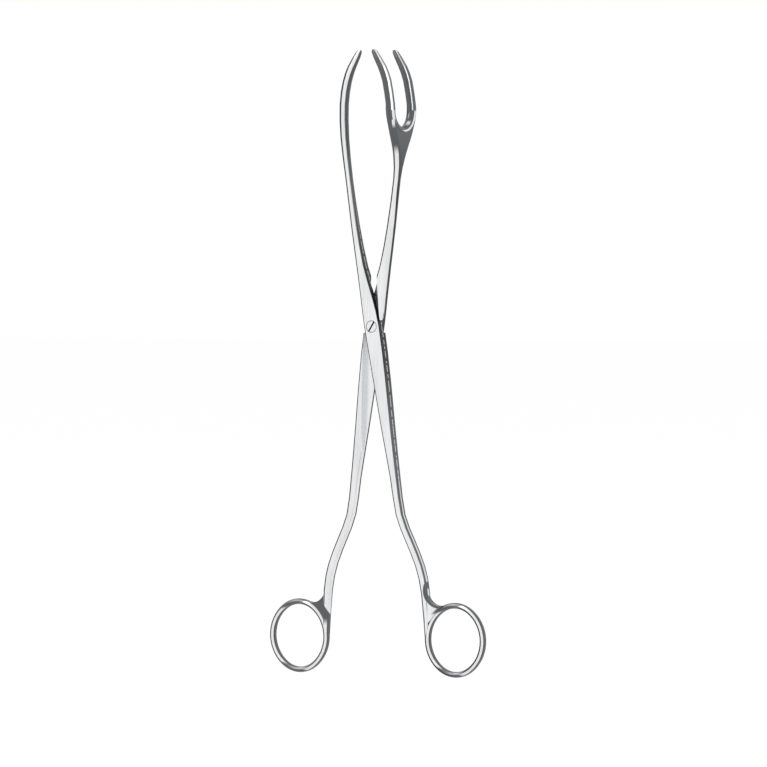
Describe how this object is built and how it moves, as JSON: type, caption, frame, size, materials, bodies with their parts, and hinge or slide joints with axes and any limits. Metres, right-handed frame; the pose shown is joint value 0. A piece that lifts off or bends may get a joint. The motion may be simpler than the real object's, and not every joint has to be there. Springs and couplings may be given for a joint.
{
  "type": "sterilizing forceps",
  "caption": "Long steel sterilizing forceps with a screw lap joint, finger rings, and a curved prong that closes between the tines of a fork.",
  "frame": {"origin": "the pivot, midway through the depth of the joint", "axes": "+Z from the finger rings to the jaws, Y along the pivot axis with the slotted screw head on the -Y side, +X towards the prong half's finger ring"},
  "size_m": [0.1186, 0.0244, 0.2987],
  "materials": {
    "satin_steel": "satin",
    "screw_steel": "turned"
  },
  "bodies": {
    "fork_body": {"fork_half": "satin_steel", "pivot_screw": "screw_steel"},
    "prong_body": {"prong_half": "satin_steel"}
  },
  "joints": [
    {"name": "jaw_hinge", "type": "hinge", "parent": "fork_body", "child": "prong_body", "pos_m": [0, 0, 0], "axis": [0, -1, 0], "range_deg": [-11, 20]}
  ]
}
